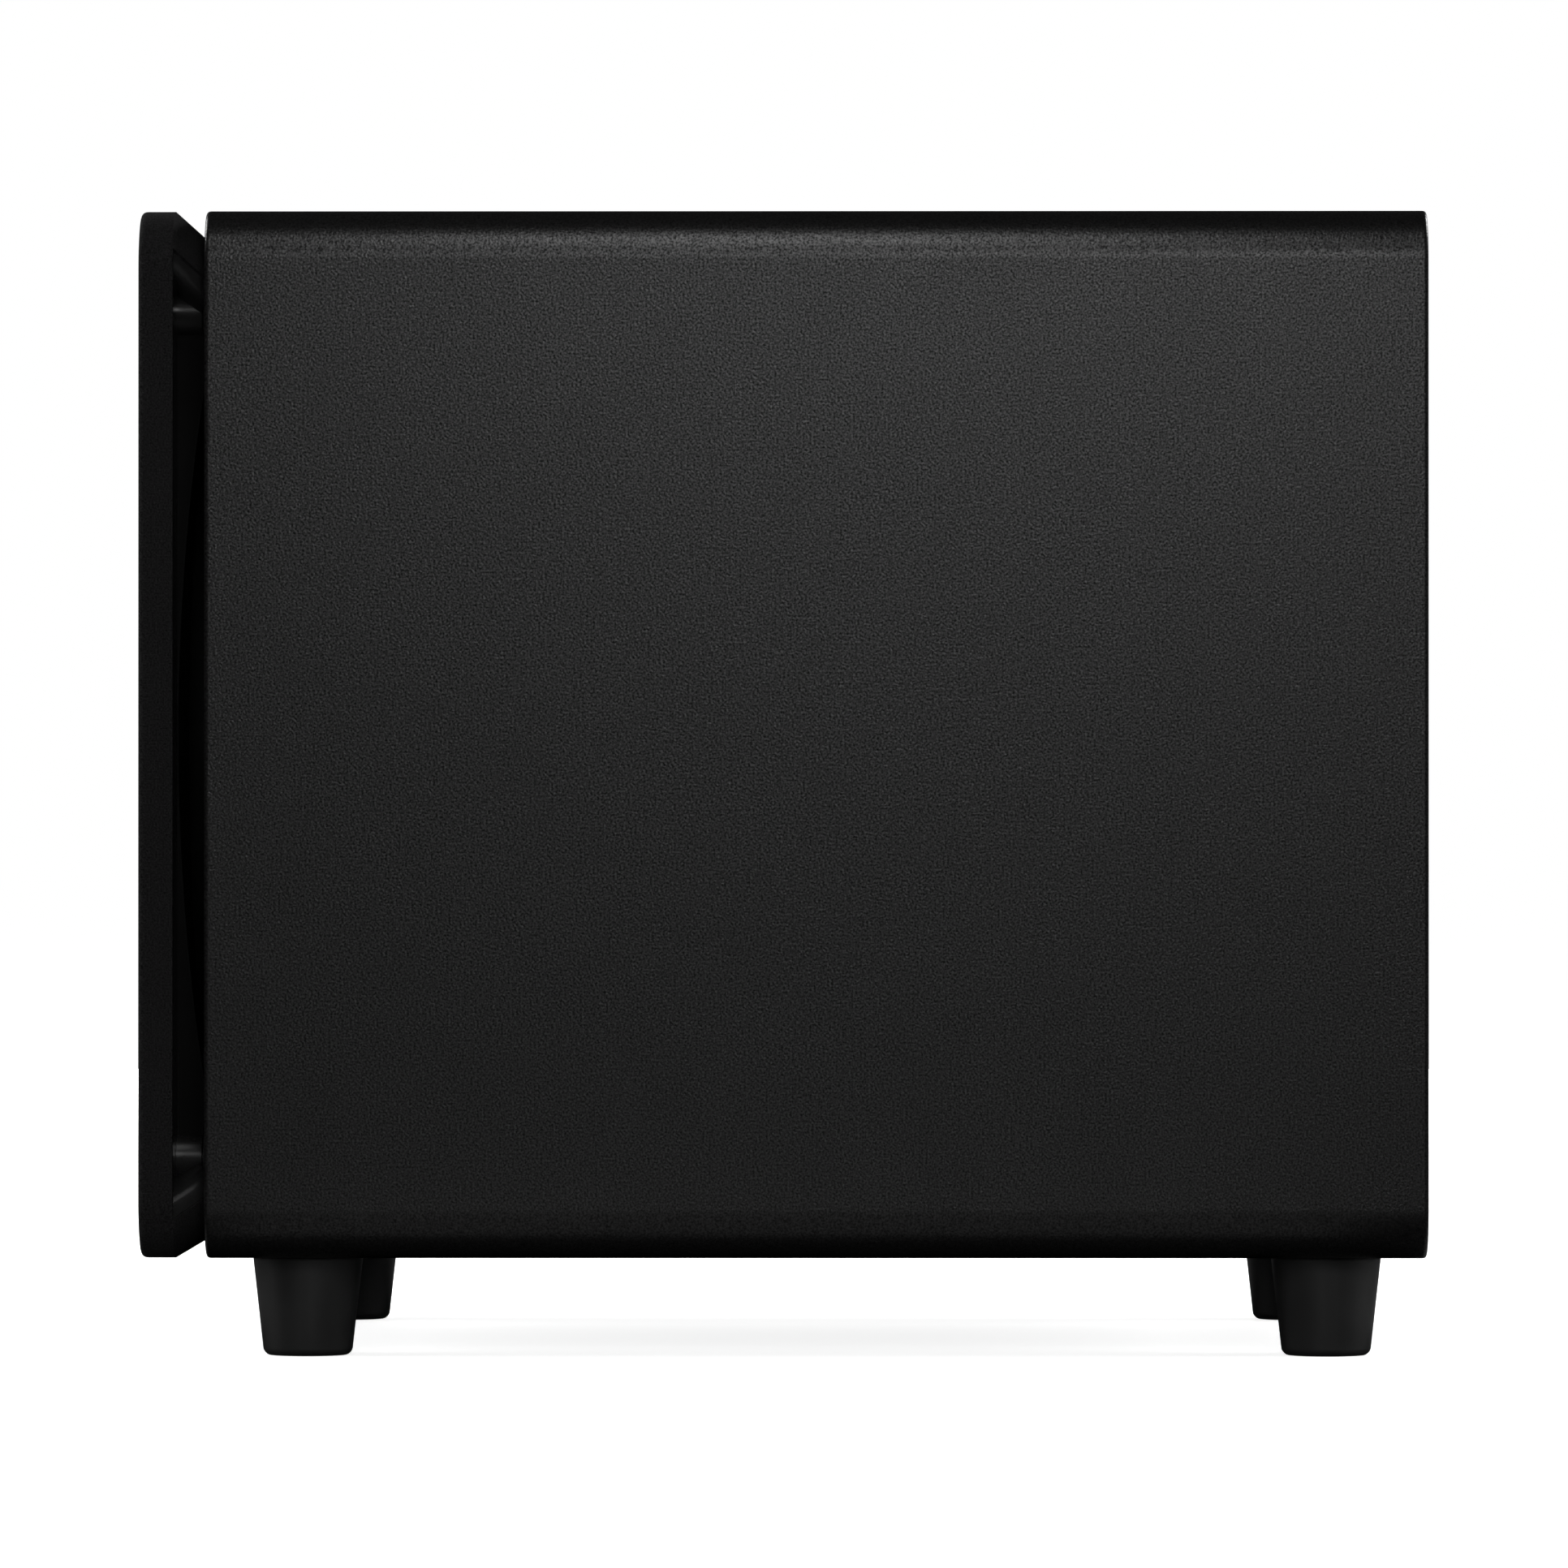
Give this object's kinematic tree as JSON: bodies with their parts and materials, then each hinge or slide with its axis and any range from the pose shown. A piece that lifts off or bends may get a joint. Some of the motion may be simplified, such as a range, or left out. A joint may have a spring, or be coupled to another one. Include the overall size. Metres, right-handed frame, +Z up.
{
  "type": "powered subwoofer",
  "caption": "Round-edged black subwoofer on tapered feet, with a stand-off cloth grille over the woofer and an amplifier plate set into the back.",
  "frame": {"origin": "on the floor under the middle of the whole object's box", "axes": "-Y towards the grille at the front, +X to the right as seen from the front, +Z up"},
  "size_m": [0.35, 0.41, 0.366],
  "materials": {
    "cabinet_finish": "satin black finish with a fine pebbled grain over fibreboard",
    "panel_paint": "matt black paint on fibreboard",
    "fibreboard": "bare fibreboard",
    "wadding": "fluffy polyester wadding",
    "moulded_plastic": "smooth satin black moulded plastic",
    "grille_cloth": "tight black knitted grille cloth",
    "foot_rubber": "satin black rubber",
    "soft_rubber": "soft matt black rubber",
    "basket_paint": "black powder coat",
    "cone_paper": "pressed black pulp with a slight sheen",
    "former": "brown heat-proof former",
    "copper_wire": "enamelled copper winding",
    "spider_cloth": "varnished woven disc",
    "plated_steel": "zinc-plated steel",
    "black_steel": "black oxide steel",
    "ferrite": "ground grey-black ferrite",
    "gold_plate": "plated tabs",
    "plate_paint": "fine-texture black powder coat",
    "black_aluminium": "black anodised",
    "circuit_board": "green solder mask",
    "transformer_wrap": "yellow tape wrapping",
    "knob_plastic": "fine satin black plastic",
    "inlet_plastic": "smooth black plastic",
    "white_jack": "glossy white insulator with a plated shell",
    "red_jack": "glossy red insulator with a plated shell",
    "led_lens": "clear blue lens",
    "lead_sleeve": "red and black sleeved two-core lead"
  },
  "bodies": {
    "cabinet": {"cabinet_shell": "cabinet_finish", "front_baffle": "panel_paint", "rear_panel": "panel_paint", "window_brace": "fibreboard", "acoustic_wadding": "wadding", "woofer_basket": "basket_paint", "woofer_trim_ring": "soft_rubber", "magnet_top_plate": "plated_steel", "magnet_ring": "ferrite", "magnet_pole_yoke": "plated_steel", "woofer_terminal": "gold_plate", "amp_plate": "plate_paint", "amp_gasket": "soft_rubber", "amp_heatsink": "black_aluminium", "amp_board": "circuit_board", "power_transformer": "transformer_wrap", "rocker_housing": "knob_plastic", "mains_inlet": "inlet_plastic", "rca_jack_left": "white_jack", "rca_jack_right": "red_jack", "status_led": "led_lens", "speaker_lead": "lead_sleeve", "foot_front_left": "foot_rubber", "foot_screw_front_left": "plated_steel", "foot_front_right": "foot_rubber", "foot_screw_front_right": "plated_steel", "foot_rear_left": "foot_rubber", "foot_screw_rear_left": "plated_steel", "foot_rear_right": "foot_rubber", "foot_screw_rear_right": "plated_steel", "grille_socket_top_left": "soft_rubber", "grille_socket_top_right": "soft_rubber", "grille_socket_bottom_left": "soft_rubber", "grille_socket_bottom_right": "soft_rubber", "woofer_screw_1": "black_steel", "woofer_screw_2": "black_steel", "woofer_screw_3": "black_steel", "woofer_screw_4": "black_steel", "woofer_screw_5": "black_steel", "woofer_screw_6": "black_steel", "woofer_screw_7": "black_steel", "woofer_screw_8": "black_steel"},
    "grille": {"grille_frame": "moulded_plastic", "grille_cloth": "grille_cloth", "grille_peg_top_left": "moulded_plastic", "grille_peg_top_right": "moulded_plastic", "grille_peg_bottom_left": "moulded_plastic", "grille_peg_bottom_right": "moulded_plastic"},
    "cone_assembly": {"woofer_cone": "cone_paper", "woofer_surround": "soft_rubber", "dust_cap": "cone_paper", "voice_coil_former": "former", "voice_coil": "copper_wire", "woofer_spider": "spider_cloth"},
    "volume": {"volume_knob": "knob_plastic"},
    "crossover": {"crossover_knob": "knob_plastic"},
    "rocker": {"power_rocker": "knob_plastic"},
    "phase": {"phase_switch": "knob_plastic"},
    "mode": {"mode_switch": "knob_plastic"},
    "fuse_tray": {"fuse_drawer": "inlet_plastic"}
  },
  "joints": [
    {"name": "grille_pull", "type": "slide", "parent": "cabinet", "child": "grille", "axis": [0, -1, 0], "range_m": [0, 0.045]},
    {"name": "cone_travel", "type": "slide", "parent": "cabinet", "child": "cone_assembly", "axis": [0, -1, 0], "range_m": [-0.008, 0.008], "stiffness_N_per_m": 3000, "deforming": ["woofer_surround", "woofer_spider"]},
    {"name": "volume_turn", "type": "hinge", "parent": "cabinet", "child": "volume", "pos_m": [0.06, 0.1924, 0.291], "axis": [0, 1, 0], "range_deg": [-150, 150]},
    {"name": "crossover_turn", "type": "hinge", "parent": "cabinet", "child": "crossover", "pos_m": [0.014, 0.1924, 0.291], "axis": [0, 1, 0], "range_deg": [-150, 150]},
    {"name": "rocker_tilt", "type": "hinge", "parent": "cabinet", "child": "rocker", "pos_m": [-0.003, 0.1916, 0.115], "axis": [1, 0, 0], "range_deg": [0, 16]},
    {"name": "phase_slide", "type": "slide", "parent": "cabinet", "child": "phase", "axis": [1, 0, 0], "range_m": [0, 0.0042]},
    {"name": "mode_slide", "type": "slide", "parent": "cabinet", "child": "mode", "axis": [1, 0, 0], "range_m": [0, 0.0082]},
    {"name": "fuse_drawer_pull", "type": "slide", "parent": "cabinet", "child": "fuse_tray", "axis": [0, 1, 0], "range_m": [0, 0.012]}
  ]
}
